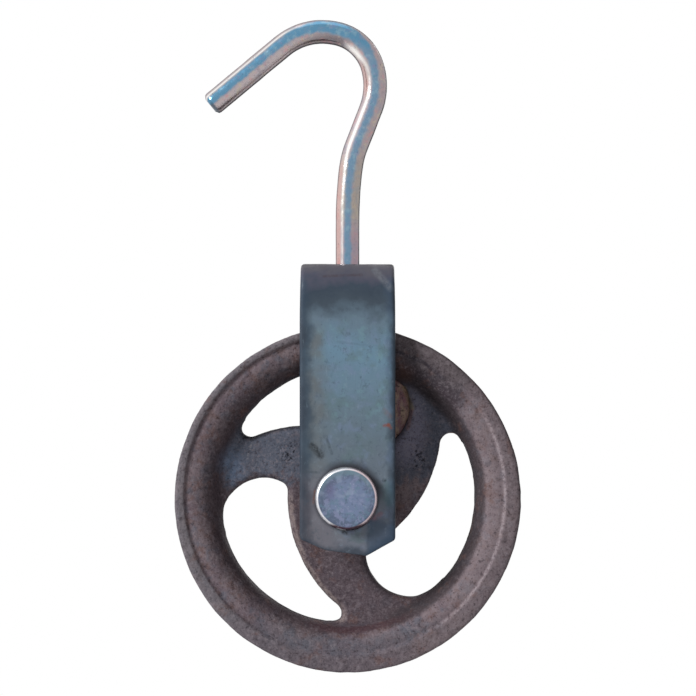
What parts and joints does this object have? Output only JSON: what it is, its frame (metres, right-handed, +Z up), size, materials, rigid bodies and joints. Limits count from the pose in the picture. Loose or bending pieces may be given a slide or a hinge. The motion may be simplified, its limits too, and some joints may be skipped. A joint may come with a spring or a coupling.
{
  "type": "hook pulley",
  "caption": "Hanging pulley: a grooved cast sheave with swept arms on a headed pin in a folded strap that swivels under an open rod hook.",
  "frame": {"origin": "the point where the hook hangs: on the underside of its crown, in the middle plane of the rod", "axes": "+Z up along the shank, +X to the right of the front view, away from the hook's open point, +Y along the axle from its head to its split pin"},
  "size_m": [0.146, 0.0638, 0.2761],
  "materials": {
    "cast_iron": "rough sand-cast, dull brown with light rust",
    "strap_steel": "blue-grey rolling scale with scratches and brown stains",
    "pin_zinc": "bluish zinc plate, satin",
    "small_zinc": "zinc plate, dulled",
    "split_wire": "plain drawn wire",
    "rod_zinc": "zinc plate, half bright"
  },
  "bodies": {
    "hook": {"hook": "rod_zinc", "hook_washer": "small_zinc", "hook_nut": "small_zinc"},
    "frame": {"strap_frame": "strap_steel"},
    "pin": {"axle_pin": "pin_zinc", "pin_washer": "small_zinc", "split_pin": "split_wire"},
    "sheave": {"sheave": "cast_iron"}
  },
  "joints": [
    {"name": "frame_swivel", "type": "hinge", "parent": "hook", "child": "frame", "pos_m": [0.01065, 0, -0.09911], "axis": [0, 0, 1], "continuous": true},
    {"name": "pin_turn", "type": "hinge", "parent": "frame", "child": "pin", "pos_m": [0.01065, 0, -0.19311], "axis": [0, 1, 0], "continuous": true},
    {"name": "sheave_spin", "type": "hinge", "parent": "frame", "child": "sheave", "pos_m": [0.01065, 0, -0.19311], "axis": [0, 1, 0], "continuous": true}
  ]
}
